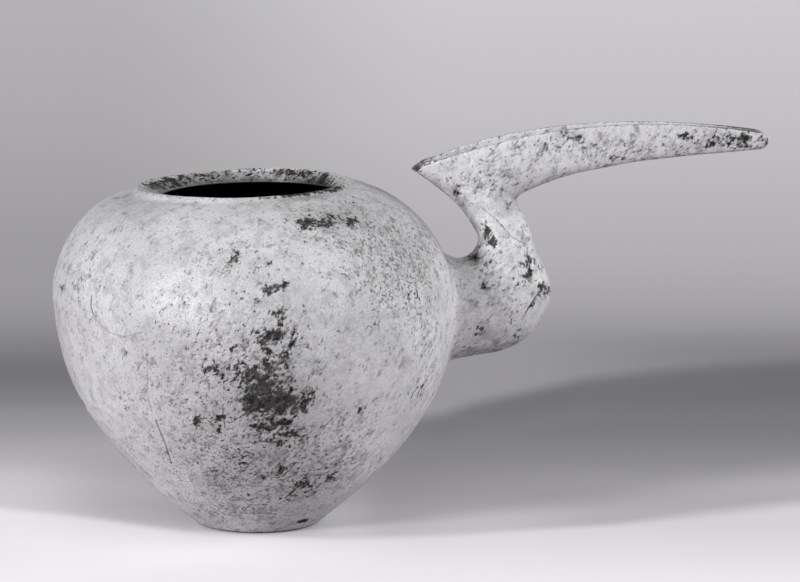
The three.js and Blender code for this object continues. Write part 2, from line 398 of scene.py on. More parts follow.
beak = {
    "prow": (73.5, 169.5),
    "tip": (245.0, 185.5),
    "tipDepth": 8.2,
    "tipHalfWidth": 5.2,
    "halfWidth": 12.4,
    "widestAfterProw": 38.0,
    "wall": 2.7,
    "floor": 3.8,
    "neckBack": (105.0, 133.8),
    "neckFront": (122.4, 154.0),
    # where the side's and the plan's curves bend, as shares of their length and height
    "edgeBends": [(0.27, 0.12), (-0.39, 0.06)],
    "backBends": [(0.82, -0.48), (0.92, -0.66)],
    "underBends": [(0.18, 0.135), (-0.38, -0.024)],
    "rearBends": [(0.05, 0.5), (0.55, 1.0)],
    "frontBends": [0.1, (0.29, 0.15)],
    "prowRise": 1.2,  # how much the edge bulges just past the prow, and where and how far along
    "prowRiseAt": 6.0,
    "prowRiseReach": 5.5,
    # how square the U across it is: 2 is an ellipse
    "sharpness": 1.75,
    "sharper": 0.6,
    "sharperFrom": (80.0, 150.0),
    "rimRise": 1.3,
    "tipRound": 2.2,  # how far before its tip the wall thins
    "tipTaper": 7.0,  # and how far before it the tip's face rounds back, down and across
    "tipBack": (2.6, 1.4),
    "channelLeast": (0.3, 0.4),  # half width and depth of the channel where it begins
    "channelOpens": 3.0,  # how far on it has its full depth
    "cutRoom": 0.25,  # how much more than the channel is cut from the neck
    "cutHeight": 8.0,
    "cutSteps": 30,
    "closeSteps": 62,
    "closeUpTo": 136.0,
    "wideFrom": 137.4,
    "wideSteps": 70,
    "lastSteps": [2.2, 1.4, 0.8, 0.35, 0.1, 0.0],  # before the tip
    "half": 34,  # points across the outside, and as many across the channel
    "rim": 6,
}


def beakLines():
    # from the prow to the tip: the edge and the keel from the side, and half the width from above
    b = beak
    prow, tip = np.array(b["prow"]), np.array(b["tip"])
    neckBack, neckFront = np.array(b["neckBack"]), np.array(b["neckFront"])
    first, second = np.array(b["edgeBends"]) * (tip[0] - prow[0])
    edge = bezier([prow, prow + first, tip + second, tip], 300)
    first, second = np.array(b["backBends"]) * [neckBack[0] - prow[0], prow[1] - neckBack[1]]
    back = bezier([prow, prow + first, prow + second, neckBack], 200)
    back = back[back[:, 1] > neckBack[1] + 3]
    end = tip - [0.0, b["tipDepth"]]
    first, second = np.array(b["underBends"]) * (tip[0] - neckFront[0])
    under = bezier([neckFront, neckFront + first, end + second, end], 200)
    wide, narrow = b["halfWidth"], b["tipHalfWidth"]
    start, widest = np.array([prow[0], 0.0]), np.array([prow[0] + b["widestAfterProw"], wide])
    first, second = np.array(b["rearBends"]) * [b["widestAfterProw"], wide]
    rear = bezier([start, start + first, start + second, widest], 120)
    run = tip[0] - widest[0]
    along, (lateAlong, lateOut) = b["frontBends"]
    late = (widest[0] + run * lateAlong, narrow + (wide - narrow) * lateOut)
    front = bezier([widest, (widest[0] + run * along, wide), late, (tip[0], narrow)], 200)
    return edge, back, under, np.concatenate([rear, front[1:]])


def beakSections(x, grow=0.0):
    # at each x: the edge's height, the outside's half width and depth, and the channel's, which are less
    # by the wall and the floor
    leastHalf, leastDepth = beak["channelLeast"]
    edge, back, under, plan = beakLines()
    pastProw = (x - beak["prow"][0] - beak["prowRiseAt"]) / beak["prowRiseReach"]
    top = np.interp(x, *edge.T) + beak["prowRise"] * np.exp(-(pastProw**2))
    keel = np.interp(x, *np.concatenate([back, under]).T)
    inner = np.concatenate([movedLeft(back, beak["floor"]), movedLeft(under, beak["floor"])])
    floor = np.interp(x, *inner.T)
    innerPlan = movedLeft(plan, -beak["wall"])
    innerPlan = innerPlan[innerPlan[:, 1] > leastHalf]
    channelHalf = np.interp(x, *innerPlan.T, left=leastHalf)
    opened = smoothStep(x, innerPlan[0, 0], innerPlan[0, 0] + beak["channelOpens"])
    depth = np.maximum(leastDepth, (top - floor) * opened)
    half = np.interp(x, *plan.T)
    return top, half, top - keel, channelHalf + grow, depth + grow


def cup(x, top, half, depth, count, backwards=False):
    # a U across the beak: a superellipse's lower half from one edge to the other, squarer towards the tip
    sharpness = beak["sharpness"] + beak["sharper"] * smoothStep(x, *beak["sharperFrom"])
    angle = np.linspace(0.0, math.pi, count)[None, :]
    if backwards:
        angle = angle[:, ::-1]
    power = (2 / sharpness)[:, None]
    across = -half[:, None] * np.sign(np.cos(angle)) * np.abs(np.cos(angle)) ** power
    z = top[:, None] - depth[:, None] * np.abs(np.sin(angle)) ** power
    return np.stack([np.repeat(x[:, None], count, axis=1), across, z], axis=-1)


def rimArc(x, top, outer, inner, rise, count):
    # a rounded strip over the edge, from the outside to the channel: a superellipse's upper half of power 3
    angle = np.linspace(0.0, math.pi, count + 2)[None, 1:-1]
    y = (outer + inner)[:, None] / 2 + (outer - inner)[:, None] / 2 * np.cos(angle)
    z = top[:, None] + rise[:, None] * (1 - np.abs(np.cos(angle)) ** 3) ** (1 / 3)
    return np.stack([np.repeat(x[:, None], count, axis=1), y, z], axis=-1)


def beakSpine():
    # close steps over the neck and near both ends, wider ones between
    prow, tip = beak["prow"][0], beak["tip"][0]
    rear = prow + 0.25 + (beak["closeUpTo"] - prow) * np.linspace(0, 1, beak["closeSteps"]) ** 1.15
    middle = np.linspace(beak["wideFrom"], tip - 3, beak["wideSteps"])
    return np.concatenate([rear, middle, tip - np.array(beak["lastSteps"])])


def buildBeak():
    # at each step one closed loop: the outside's U, over one edge, back through the channel, over the other.
    # The wall thins over the last stretch, and the tip's face rounds back by the cube of the distance.
    b = beak
    tip = b["tip"][0]
    x = beakSpine()
    top, half, depth, channelHalf, channelDepth = beakSections(x)
    end = 1 - np.clip((x - tip + b["tipRound"]) / b["tipRound"], 0, 1) ** 2
    thin = np.sqrt(np.clip(end, 0.02, 1))
    midHalf, midDepth = (half + channelHalf) / 2, (depth + channelDepth) / 2
    half, channelHalf = midHalf + (half - midHalf) * thin, midHalf + (channelHalf - midHalf) * thin
    depth, channelDepth = midDepth + (depth - midDepth) * thin, midDepth + (channelDepth - midDepth) * thin
    rise = np.minimum(b["rimRise"], 0.42 * (half - channelHalf))
    low = top - rise
    n, r = b["half"], b["rim"]
    sides = [
        cup(x, low, half, depth - rise, n),
        rimArc(x, low, half, channelHalf, rise, r),
        cup(x, low, channelHalf, channelDepth - rise * 0.5, n, True),
        rimArc(x, low, -channelHalf, -half, rise, r),
    ]
    loops = np.concatenate(sides, axis=1)
    atTip = np.clip((loops[..., 0] - tip + b["tipTaper"]) / b["tipTaper"], 0, 1) ** 2
    up = (loops[..., 2] - top[-1]) / (b["tipDepth"] / 2) + 1
    across = loops[..., 1] / b["tipHalfWidth"]
    backDown, backAcross = b["tipBack"]
    loops[..., 0] -= atTip * (backDown * np.abs(up) ** 3 + backAcross * np.abs(across) ** 3)
    rows, around = loops.shape[:2]
    ends = []
    for start in (0, (rows - 1) * around):
        # an end is closed by a strip between the outside and the channel, and a face over each edge
        outer = start + np.arange(n)
        inner = start + n + r + np.arange(n)[::-1]
        ends += np.stack([outer[:-1], outer[1:], inner[1:], inner[:-1]], axis=1).tolist()
        ends.append((start + np.arange(n - 1, n + r + 1)).tolist())
        ends.append((start + np.r_[np.arange(2 * n + r - 1, 2 * n + 2 * r), 0]).tolist())
    strips = np.repeat([part["beak"], part["rim"], part["channel"], part["rim"]], [n, r, n, r])
    strips[[n - 1, 2 * n + r - 1]] = part["rim"]
    parts = np.concatenate([np.tile(strips, rows - 1), np.full(len(ends), part["rim"])])
    return meshObject("beak", loops.reshape(-1, 3), loftFaces(rows, around) + ends, parts)


def channelCut():
    # the channel's room, a little over its true size, with which the neck is cut before it is joined
    x = np.concatenate([beakSpine()[4:-6], [beak["tip"][0] + 6]])
    top, half, depth, channelHalf, channelDepth = beakSections(x, beak["cutRoom"])
    bottom = cup(x, top, channelHalf, channelDepth, beak["cutSteps"])
    lid = bottom[:, [-1, 0]] + [0, 0, beak["cutHeight"]]
    return tube("channel", np.concatenate([bottom, lid], axis=1), part["channel"])


# the whole pitcher as one piece of clay

pitcher = buildBody()
pitcher.name = "pitcher_clay"
combine(pitcher, "UNION", buildBeak())
neck = tube("neck", throatRings(0.0, throat["around"], throat["rings"]), part["neck"])
combine(neck, "DIFFERENCE", channelCut())
combine(pitcher, "UNION", neck)
bore = throatRings(1.0, throat["boreAround"], throat["boreRings"])
combine(pitcher, "DIFFERENCE", tube("bore", bore, part["bore"]))
print("pitcher joined:", len(pitcher.data.vertices), "points,", len(pitcher.data.polygons), "faces")


# the mesh as arrays, to soften the joins, give it relief and say where it is stained and where shade is
# painted on it


def column(collection, name, width, kind=np.float32):
    # one value of each element of a mesh as an array, with a row for each element
    values = np.empty(len(collection) * width, kind)
    collection.foreach_get(name, values)
    return values.reshape(-1, width) if width > 1 else values


clay = pitcher.data
points = column(clay.vertices, "co", 3).astype(float) * 1000
edges = column(clay.edges, "vertices", 2, np.int32)
facePart = column(clay.attributes["part"].data, "value", 1, np.int32)
cornerPart = np.repeat(facePart, column(clay.polygons, "loop_total", 1, np.int32))
cornerPoint = column(clay.loops, "vertex_index", 1, np.int32)
corners = np.bincount(cornerPoint, minlength=len(points))


def share(*names):
    # how much of the faces round each point belongs to these parts, from 0 to 1
    belongs = np.isin(cornerPart, [part[name] for name in names])
    return np.bincount(cornerPoint, belongs, len(points)) / corners


def near(chosen, reach):
    # 1 at the chosen points, falling to 0 at a distance. It goes in portions, to spare memory.
    weight = np.zeros(len(points))
    for portion in np.array_split(np.arange(len(points)), 40):
        gap = np.linalg.norm(points[portion, None] - points[None, chosen], axis=2).min(axis=1)
        weight[portion] = 1 - smoothStep(gap, reach * 0.35, reach)
    return weight


def relax(weight, passes):
    # each sweep moves points 0.6 of the way to the middle of their neighbours, which softens a crease
    a, b = edges.T
    neighbours = np.bincount(edges.ravel(), minlength=len(points))
    for sweep in range(passes):
        for axis in range(3):
            place = points[:, axis]
            total = np.bincount(a, place[b], len(points)) + np.bincount(b, place[a], len(points))
            points[:, axis] += weight * (total / neighbours - place) * 0.6


def normals():
    # the surface's direction at each point
    clay.vertices.foreach_set("co", (points * 0.001).ravel())
    clay.update()
    return column(clay.vertex_normals, "vector", 3).astype(float)


outer = share("outside", "neck", "beak")
neckShare, beakShare, bodyShare = share("neck"), share("beak"), share("outside")
beakSeam = np.flatnonzero((neckShare > 0) & (beakShare > 0))
bodySeam = np.flatnonzero((neckShare > 0) & (bodyShare > 0))
whole = outer > 0.99

# how far from each join the clay is smoothed over, and how often
joins = {"beakReach": 11.0, "beakPasses": 16, "bodyReach": 8.0, "bodyPasses": 10}
relax(near(beakSeam, joins["beakReach"]) * whole, joins["beakPasses"])
relax(near(bodySeam, joins["bodyReach"]) * whole, joins["bodyPasses"])
print("joins softened:", len(beakSeam), "and", len(bodySeam), "points on them")

# marks read off the photograph, in its pixels: place, half width, half height, tilt in degrees and
# strength. First the dark stains.
# besides the stains, two marks paint shade in the valley between the throat and the body
stainsAndShade = [
    (240, 178, 106, 9, 0, 0.36),
    (265, 385, 64, 58, 0, 0.27),
    (292, 472, 56, 32, 0, 0.2),
    (280, 322, 40, 44, 0, 0.22),
    (326, 222, 48, 14, 0, 0.2),
    (512, 276, 36, 52, 0, 0.2),
    (715, 140, 48, 10, 0, 0.3),
    (560, 145, 90, 10, -6, 0.14),
    (268, 402, 27, 14, 5, 1.0),
    (262, 386, 18, 9, -20, 0.8),
    (290, 403, 14, 11, 10, 0.92),
    (248, 374, 22, 8, 15, 0.62),
    (268, 368, 20, 8, 0, 0.62),
    (257, 430, 7, 6, 0, 0.8),
    (280, 424, 20, 8, 0, 0.6),
    (296, 435, 10, 6, 0, 0.75),
    (276, 441, 16, 5, 0, 0.6),
    (311, 395, 6, 11, 10, 0.45),
    (250, 406, 9, 8, 0, 0.97),
    (269, 351, 7, 5, 20, 0.85),
    (270, 292, 6, 3, -10, 0.8),
    (210, 368, 12, 8, 0, 0.7),
    (197, 421, 7, 6, 0, 0.85),
    (217, 420, 9, 7, 0, 0.5),
    (217, 430, 8, 4, 0, 0.5),
    (232, 350, 7, 4, 0, 0.6),
    (233, 260, 10, 11, 30, 0.6),
    (270, 264, 6, 5, 0, 0.8),
    (277, 286, 12, 5, -12, 0.97),
    (266, 289, 7, 3, 0, 0.6),
    (281, 316, 8, 8, 30, 0.88),
    (277, 334, 14, 7, 0, 0.68),
    (264, 338, 9, 7, 0, 0.6),
    (297, 330, 5, 6, 20, 0.8),
    (290, 347, 4, 9, 25, 0.8),
    (284, 361, 7, 8, 15, 0.85),
    (261, 345, 7, 4, 0, 0.62),
    (306, 345, 4, 4, 0, 0.6),
    (327, 352, 4, 4, 0, 0.5),
    (360, 410, 6, 6, 0, 0.82),
    (420, 388, 7, 15, 35, 0.5),
    (302, 484, 12, 6, -15, 0.6),
    (285, 496, 8, 4, -15, 0.5),
    (312, 493, 10, 5, -30, 0.5),
    (329, 475, 7, 11, 40, 0.5),
    (280, 470, 14, 5, -15, 0.55),
    (342, 440, 9, 4, -15, 0.55),
    (240, 457, 15, 8, 0, 0.45),
    (218, 477, 9, 7, 0, 0.45),
    (302, 521, 13, 2, -8, 0.9),
    (307, 222, 11, 7, 0, 0.95),
    (330, 220, 12, 6, 0, 0.55),
    (352, 222, 7, 5, 0, 0.88),
    (538, 295, 3, 7, 30, 0.92),
    (531, 306, 3, 6, 25, 0.85),
    (488, 231, 5, 9, -25, 0.85),
    (318, 226, 14, 4, 0, 0.5),
    (358, 203, 10, 3, 0, 0.4),
    (421, 316, 4, 6, 0, 0.55),
    (412, 295, 8, 10, 20, 0.42),
    (62, 287, 4, 4, 0, 0.7),
    (127, 407, 4, 4, 0, 0.5),
    (148, 353, 4, 4, 0, 0.55),
    (119, 197, 16, 2, -12, 0.7),
    (160, 183, 20, 7, -12, 0.85),
    (176, 187, 12, 5, -12, 0.7),
    (200, 175, 25, 4, -8, 0.6),
    (285, 171, 48, 3, 0, 0.6),
    (312, 175, 24, 5, 5, 0.6),
    (325, 182, 14, 6, 10, 0.7),
    (300, 194, 32, 3, -6, 1.0),
    (265, 198, 13, 2, 0, 0.6),
    (334, 190, 12, 3, -15, 1.0),
    (360, 192, 10, 3, 25, 0.5),
    # painted shade in the valley between the throat and the body
    (473, 257, 8, 5, 10, 0.85),
    (476, 249, 3, 7, 0, 0.55),
    (488, 236, 4, 8, -25, 0.75),
    (493, 242, 6, 4, 60, 0.7),
    (500, 250, 4, 5, -30, 0.5),
    (530, 261, 7, 9, 0, 0.9),
    (527, 277, 5, 9, 20, 0.85),
    (541, 287, 6, 6, 0, 0.95),
    (547, 291, 5, 6, 0, 0.7),
    (484, 286, 5, 5, 0, 0.75),
    (495, 288, 8, 5, 0, 0.75),
    (481, 328, 5, 8, 0, 0.7),
    (511, 323, 6, 5, 0, 0.85),
    (517, 335, 5, 4, 0, 0.6),
    (509, 206, 4, 5, 0, 0.85),
    (494, 207, 8, 2, 0, 0.5),
    (457, 193, 8, 5, 30, 0.6),
    (452, 189, 5, 4, 30, 0.6),
    (487, 176, 7, 5, 0, 0.55),
    (515, 147, 8, 3, 0, 0.55),
    (547, 142, 9, 3, 0, 0.4),
    (575, 137, 8, 4, 0, 0.6),
    (614, 158, 18, 3, 0, 0.5),
    (684, 135, 12, 4, 0, 0.62),
    (703, 144, 10, 4, 0, 0.5),
    (720, 143, 10, 4, 0, 0.6),
    (723, 134, 10, 3, 0, 0.45),
    (742, 139, 13, 4, 0, 0.85),
    (744, 146, 13, 3, 0, 0.8),
    (570, 134, 11, 4, 0, 0.55),
    (762, 139, 7, 6, 0, 0.75),
    (417, 169, 7, 4, 0, 0.8),
]
# where the skin is rubbed thin, and a few places of painted shade
wearAndShadePlaces = [
    (268, 390, 66, 60, 0, 0.75),
    (265, 468, 80, 34, 0, 0.85),
    (320, 460, 60, 38, 0, 0.65),
    (388, 280, 50, 52, 0, 0.7),
    (176, 378, 48, 44, 0, 0.4),
    (426, 355, 18, 50, 0, 0.4),
    (122, 300, 42, 50, 0, 0.12),
    (228, 482, 26, 20, 0, 0.5),
    (360, 240, 60, 26, 0, 0.4),
    (205, 438, 34, 30, 0, 0.5),
    # painted shade: darker round the highlight on the body's left and along the body's left edge
    (205, 335, 34, 34, 0, 0.4),
    (76, 270, 22, 60, 0, 0.35),
    (240, 180, 112, 10, 0, 0.9),
    # painted shade in the valley between the throat and the body
    (474, 256, 12, 9, 0, 1.0),
    (510, 262, 44, 60, 0, 0.35),
    (330, 218, 62, 18, 0, 0.6),
    (235, 265, 50, 30, 0, 0.35),
    (420, 250, 34, 30, 0, 0.5),
    (245, 508, 60, 20, 0, 0.8),
    (150, 440, 40, 40, 0, 0.3),
    (500, 185, 36, 22, 0, 0.35),
    (725, 139, 44, 10, 0, 0.8),
    (600, 147, 100, 13, 0, 0.75),
    (490, 172, 44, 22, 0, 0.45),
]
# where pale flecks of crust sit on it
crustPlaces = [
    (426, 335, 20, 26, 0, 0.8),
    (384, 372, 34, 30, 0, 0.5),
    (362, 445, 40, 44, 0, 0.65),
    (430, 390, 14, 40, 0, 0.6),
    (488, 306, 26, 14, 0, 0.8),
    (508, 303, 20, 14, 0, 0.95),
    (446, 266, 12, 16, 0, 0.6),
    (486, 272, 10, 10, 0, 0.5),
    (560, 150, 190, 32, 0, 0.9),
    (740, 139, 30, 9, 0, 0.9),
    (510, 275, 46, 70, 0, 1.0),
    (470, 190, 50, 40, 0, 0.7),
]
# soft grey dirt, and painted shade under the throat and the beak, along the neck's back, across the body
# between its lit sides and on the lip
smudgesAndShade = [
    (160, 358, 36, 44, 0, 0.14),
    (125, 305, 36, 40, 0, 0.06),
    (568, 133, 14, 5, 0, 0.3),
    (212, 388, 36, 34, 0, 0.15),
    (228, 482, 22, 16, 0, 0.15),
    # painted shade: a band across the body between its two lit sides
    (430, 296, 12, 22, 0, 0.1),
    (451, 166, 14, 8, -25, 0.2),
    (509, 206, 8, 9, 0, 0.4),
    (512, 257, 15, 7, 0, 0.2),
    # painted shade along the throat's underside
    (466, 354, 14, 5, -5, 0.4),
    (485, 352, 12, 4, -10, 0.35),
    (500, 348, 12, 4, -18, 0.35),
    (514, 343, 10, 4, -25, 0.35),
    (527, 334, 8, 3, -45, 0.25),
    (532, 284, 8, 7, 0, 0.2),
    (466, 205, 8, 9, 0, 0.2),
    # on the lip's bevel and the wall just inside it: partly stain and partly painted shade
    (160, 187, 20, 5, -10, 0.5),
    (210, 180, 30, 5, -6, 0.25),
    (308, 184, 18, 6, 0, 1.0),
    (324, 184, 14, 6, 10, 0.55),
    (308, 198, 30, 2.5, -6, 0.5),
    # painted shade along the neck's back, from the prow down into the valley by the body
    (433, 184, 12, 4, 40, 0.5),
    (451, 193, 10, 5, 35, 0.5),
    (463, 208, 9, 4.5, 60, 0.65),
    (474, 225, 11, 4.5, 66, 0.75),
    (475, 241, 10, 4, 85, 0.4),
    (473, 257, 9, 5, -10, 0.8),
    (487, 238, 7, 12, -25, 0.25),
    (532, 265, 8, 20, 15, 0.25),
    (540, 294, 7, 9, 20, 0.35),
    (492, 290, 16, 10, 0, 0.2),
    (500, 334, 30, 6, 0, 0.2),
    # painted shade along the beak's underside
    (560, 186, 60, 3, -12, 0.25),
    (745, 139, 22, 6, 0, 0.2),
    (712, 141, 30, 5, 0, 0.15),
    (272, 398, 48, 34, 0, 0.38),
    (275, 345, 26, 26, 0, 0.12),
    (258, 470, 50, 34, 0, 0.14),
    (328, 219, 34, 9, 0, 0.15),
    (200, 437, 36, 26, 0, 0.1),
]
# the fold on the throat
foldLine = [(482, 208), (487, 213), (497, 220), (502, 226), (508, 232), (512, 237), (519, 241), (526, 244)]
# fine dark lines: strength, and the points that each runs through
scratchesAndShade = [
    (0.8, [(92, 298), (91, 306), (93, 313)]),
    (0.35, [(96, 320), (108, 332), (124, 337), (142, 332)]),
    (0.3, [(147, 353), (148, 375), (147, 393), (152, 410)]),
    (0.8, [(157, 422), (161, 432), (165, 442), (171, 461)]),
    (0.9, [(223, 411), (225, 426)]),
    (1.0, [(541, 290), (535, 296), (532, 301), (529, 306), (526, 312)]),
    # painted shade: a dark line along the fold
    (0.45, foldLine),
]


def marked(seen, marks):
    # how far soft ovals cover each place: overlapping ones add up towards 1
    bare = np.ones(len(seen))
    for u, v, wide, high, tilt, strength in marks:
        turn = math.radians(tilt)
        right, down = seen[:, 0] - u, seen[:, 1] - v
        along = right * math.cos(turn) + down * math.sin(turn)
        across = down * math.cos(turn) - right * math.sin(turn)
        bare *= 1 - strength * np.exp(-((along / wide) ** 2) - (across / high) ** 2)
    return 1 - bare


def fromLine(seen, line):
    # signed distance from a bent line, and 1 along it fading to 0 past its ends
    best = np.full(len(seen), 1e3)
    signed = np.full(len(seen), 1e3)
    line = np.array(line, float)
    for a, b in zip(line[:-1], line[1:]):
        step = b - a
        size = np.linalg.norm(step)
        t = (seen - a) @ step / size**2
        gap = np.linalg.norm(seen - a - np.clip(t, 0, 1)[:, None] * step, axis=1)
        side = ((seen - a) @ np.array([-step[1], step[0]])) / size
        closer = gap < best
        best = np.where(closer, gap, best)
        signed = np.where(closer, side, signed)
    past = np.sqrt(np.maximum(0, best**2 - signed**2))
    return signed, 1 - smoothStep(past, 0.5, 4.0)


normal = normals()
seen = seenAt(points)
toEye = viewAxes()[3] - points
facing = smoothStep((normal * toEye).sum(axis=1) / np.linalg.norm(toEye, axis=1), 0.0, 0.18)
openAir = 1 - share("inside", "bore")
front = facing * openAir

# relief in millimetres: a slow unrest of the walls, a fold across the throat and rings round the neck
relief = {
    "slowWave": 60.0,  # from crest to crest
    "slowHeight": 0.35,
    "shortWave": 22.0,
    "shortHeight": 0.1,
    "shortOnNeck": 0.3,  # what the short waves gain on the neck and on the beak
    "shortOnBeak": 0.05,
    "foldDepth": 0.7,
    "foldWidth": 3.5,  # in the photograph's pixels, as the other widths of the fold
    "lapHeight": 1.1,
    "lapStart": (1.0, 8.0),
    "lapWidth": 26.0,
    "rings": [(147.5, 1.2), (151.0, 1.0)],  # height and half width of each
    "ringDepth": 0.35,
    "footFade": (0.5, 12.0),  # the heights over which all of it begins
}
fold, along = fromLine(seen, foldLine)
neckOnly = share("neck") * front
short = relief["shortHeight"] + relief["shortOnNeck"] * neckShare + relief["shortOnBeak"] * beakShare
swell = waves(points, relief["slowWave"], 3) * relief["slowHeight"] * bodyShare
swell = swell + waves(points, relief["shortWave"], 4) * short
swell -= neckOnly * relief["foldDepth"] * np.exp(-((fold / relief["foldWidth"]) ** 2)) * along
lap = smoothStep(-fold, *relief["lapStart"]) * np.exp(-((fold / relief["lapWidth"]) ** 2))
swell += neckOnly * relief["lapHeight"] * lap * along
rings = sum(np.exp(-(((points[:, 2] - height) / wide) ** 2)) for height, wide in relief["rings"])
swell -= neckShare * rings * relief["ringDepth"]
swell *= smoothStep(points[:, 2], *relief["footFade"])
points += normal * (swell * outer * openAir)[:, None]
normal = normals()
print("relief done")


def give(name, values):
    # keeps one number for each point on the mesh, for the material to read
    clay.attributes.new(name, "FLOAT", "POINT").data.foreach_set("value", values.astype(np.float32))


# the side that the photograph doesn't show: dark spots of chance places and sizes
hiddenMarks = {"count": 26, "x": (-110, 150), "y": (-100, 100), "z": (10, 175), "size": (6, 20), "seed": 11}
chance = np.random.default_rng(hiddenMarks["seed"])
hiddenSpots = np.stack(
    [chance.uniform(*hiddenMarks[axis], hiddenMarks["count"]) for axis in ("x", "y", "z")], axis=1
)
hiddenSize = chance.uniform(*hiddenMarks["size"], hiddenMarks["count"])
spot = np.zeros(len(points))
for place, size in zip(hiddenSpots, hiddenSize):
    spot = np.maximum(spot, np.exp(-(np.linalg.norm(points - place, axis=1) / size) ** 2))
hidden = 1 - facing

# dark bands: the beak's edges, its tip's face and the lip's crest rubbed dark, a darker band along the keel
# behind the prow, and painted shade under the beak near its tip and round the foot's bottom. Where each band
# starts and ends, and its strength
rubbedEdgesAndShade = {
    "rimDepth": (0.2, 1.3),  # down from the beak's edge, strongest at its two ends
    "prowTo": (74.0, 92.0),
    "tipFrom": (205.0, 243.0),
    "tipFace": (240.0, 243.5),
    "tipFaceStrength": 0.7,
    "rearKeelHalf": (0.8, 3.2),
    "rearKeelTo": (96.0, 108.0),
    "rearKeelStrength": 0.75,
    "keelFrom": (195.0, 235.0),
    "keelStrength": 0.6,
    "footTo": (0.4, 1.8),
    "lipHalf": 1.2,
    "lipStrength": 0.5,
}
e = rubbedEdgesAndShade
x, y, z = points.T
edgeTop = np.interp(x, *beakLines()[0].T)
ends = 0.7 - 0.7 * smoothStep(x, *e["prowTo"]) + smoothStep(x, *e["tipFrom"])
rimShare = share("beak", "rim") * (share("channel") < 0.6)
edge = rimShare * (1 - smoothStep(edgeTop - z, *e["rimDepth"])) * (0.55 + 0.35 * ends)
edge = np.maximum(edge, share("beak", "rim") * smoothStep(x, *e["tipFace"]) * e["tipFaceStrength"])
rearKeel = (1 - smoothStep(np.abs(y), *e["rearKeelHalf"])) * (1 - smoothStep(x, *e["rearKeelTo"]))
edge = np.maximum(edge, share("beak") * rearKeel * e["rearKeelStrength"])
# painted shade under the beak near its tip, where it faces down
keelEdge = smoothStep(x, *e["keelFrom"]) * smoothStep(-normal[:, 2], 0.5, 0.95)
edge = np.maximum(edge, share("beak") * keelEdge * e["keelStrength"])
# painted shade round the foot's bottom, where it meets the floor
edge = np.maximum(edge, share("outside") * (1 - smoothStep(z, *e["footTo"])))
lipTop = body["mouthHeight"] + body["slope"] * x
lipEdge = np.exp(-(((z - lipTop) / e["lipHalf"]) ** 2)) * e["lipStrength"]
edge = np.maximum(edge, share("lip", "outside") * lipEdge)

# the marks as attributes of the mesh, each from 0 to 1
give("stainAndShade", front * marked(seen, stainsAndShade) + hidden * openAir * spot * 0.95)
# painted shade: where the neck and the beak face down, they darken through the wear layer
under = smoothStep(-normal[:, 2], 0.25, 0.9) * share("neck", "beak")
wearAndShade = np.maximum(marked(seen, wearAndShadePlaces), under * 0.6)
give("wearAndShade", front * wearAndShade + hidden * openAir * (0.3 + 0.45 * waves(points, 75, 5)))
give("crust", front * marked(seen, crustPlaces) + hidden * 0.35)
give("smudgeAndShade", front * marked(seen, smudgesAndShade))
give("edge", edge)
# painted shade: below the lip's crest the inside darkens to near black, and the lip's bevel is darkened a
# little
darkBelow = (2.4, 5.8)  # millimetres under the lip's crest
lipShare = share("lip")
give("deepShade", share("inside", "bore", "lip") * np.maximum(0.28 * lipShare, smoothStep(lipTop - z, *darkBelow)))

# the nearest of the scratches and the fold's line of painted shade: how far off it is, and how strong
farthest = 20.0
scratchAndShade = np.full(len(points), farthest)
span = np.zeros(len(points))
for strength, line in scratchesAndShade:
    gap, inSpan = fromLine(seen, line)
    closer = np.abs(gap) + 8 * (1 - inSpan) < np.abs(scratchAndShade) + 8 * (1 - span)
    scratchAndShade = np.where(closer, gap, scratchAndShade)
    span = np.where(closer, inSpan * strength, span)
give("scratchAndShade", np.clip(scratchAndShade, -farthest, farthest))
give("scratchAndShadeSpan", span * front)
clay.shade_smooth()
print("marks placed")


# the clay's finish


def linear(hexColor):
    # an sRGB hex colour as the linear numbers that the shader works in
    value = np.array([int(hexColor[i : i + 2], 16) for i in (1, 3, 5)]) / 255
    value = np.where(value <= 0.04045, value / 12.92, ((value + 0.055) / 1.055) ** 2.4)
    return (*value.tolist(), 1.0)


def addNode(tree, kind, inputs=None, **settings):
    # adds a shader node: an input is a number, a colour or another node's output
    node = tree.nodes.new("ShaderNode" + kind)
    for name, value in settings.items():
        setattr(node, name, value)
    for name, value in (inputs or {}).items():
        if isinstance(value, bpy.types.NodeSocket):
            tree.links.new(value, node.inputs[name])
        else:
            node.inputs[name].default_value = value
    return node


def noise(tree, place, size, detail, roughness=0.5, bend=0.0):
    # cloudy noise whose lumps are about this many millimetres across
    inputs = {
        "Vector": place,
        "Scale": 1000 / size,
        "Detail": detail,
        "Roughness": roughness,
        "Distortion": bend,
    }
    node = addNode(tree, "TexNoise", inputs)
    return node.outputs["Factor" if "Factor" in node.outputs else "Fac"]


def between(tree, value, low, high, smallest=0.0, largest=1.0):
    # a smooth step from one value to another as the input goes from low to high
    node = addNode(
        tree,
        "MapRange",
        {"Value": value, "From Min": low, "From Max": high, "To Min": smallest, "To Max": largest},
        interpolation_type="SMOOTHSTEP",
    )
    return node.outputs["Result"]


def worked(tree, operation, a, b=0.0, c=0.0):
    # a sum on one to three numbers
    return addNode(tree, "Math", {0: a, 1: b, 2: c}, operation=operation).outputs[0]


def blended(tree, amount, a, b):
    # two colours, with more of the second as the amount grows
    return addNode(tree, "Mix", {0: amount, 6: a, 7: b}, data_type="RGBA").outputs[2]


def attribute(tree, name):
    # one of the numbers kept on the mesh
    return addNode(tree, "Attribute", attribute_name=name).outputs["Fac"]


def newMaterial(name):
    material = bpy.data.materials.new(name)
    material.use_nodes = True
    material.node_tree.nodes.clear()
    return material, material.node_tree


